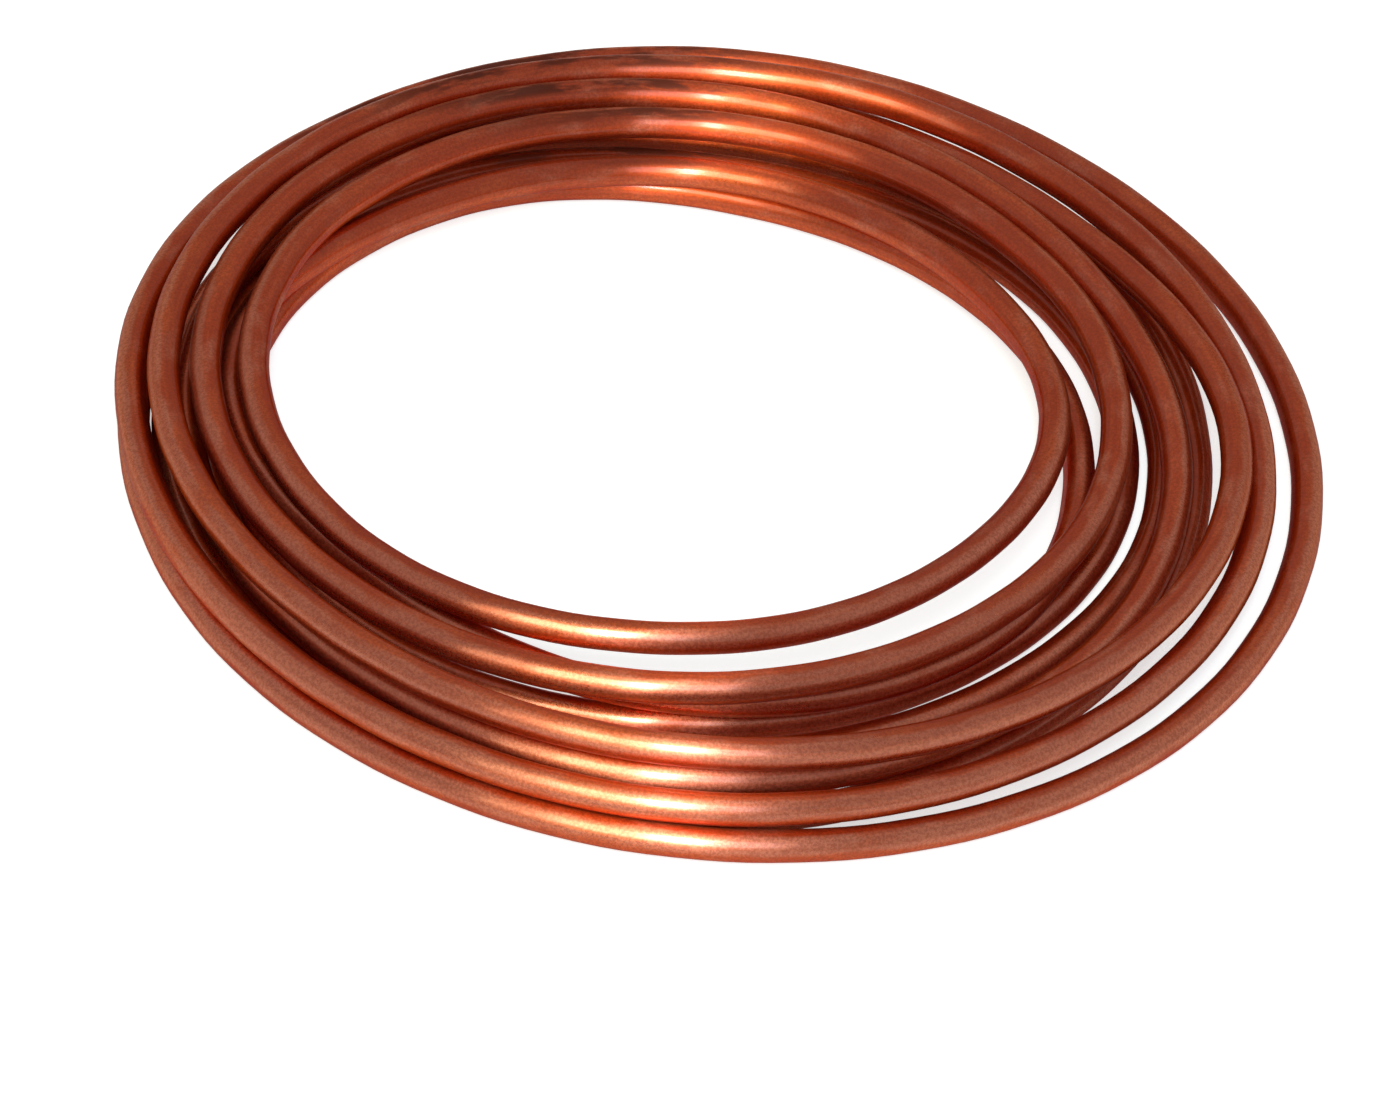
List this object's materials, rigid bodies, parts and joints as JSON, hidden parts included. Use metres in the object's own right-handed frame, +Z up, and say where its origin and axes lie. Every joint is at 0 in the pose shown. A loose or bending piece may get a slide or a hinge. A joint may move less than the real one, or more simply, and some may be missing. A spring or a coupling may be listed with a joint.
{
  "type": "copper tube coil",
  "caption": "Coil of soft copper tube: one length of small round tube wound into loose, stacked turns that lie flat, with open sawn ends.",
  "frame": {"origin": "on the floor, under the middle of the coil's box", "axes": "+Z up, along the coil's axis; the turns wind clockwise and outwards seen from above; -Y is the near side"},
  "size_m": [0.2388, 0.2448, 0.0195],
  "materials": {
    "copper": "satin drawn copper"
  },
  "bodies": {
    "root": {"copper_tube": "copper"}
  },
  "joints": []
}
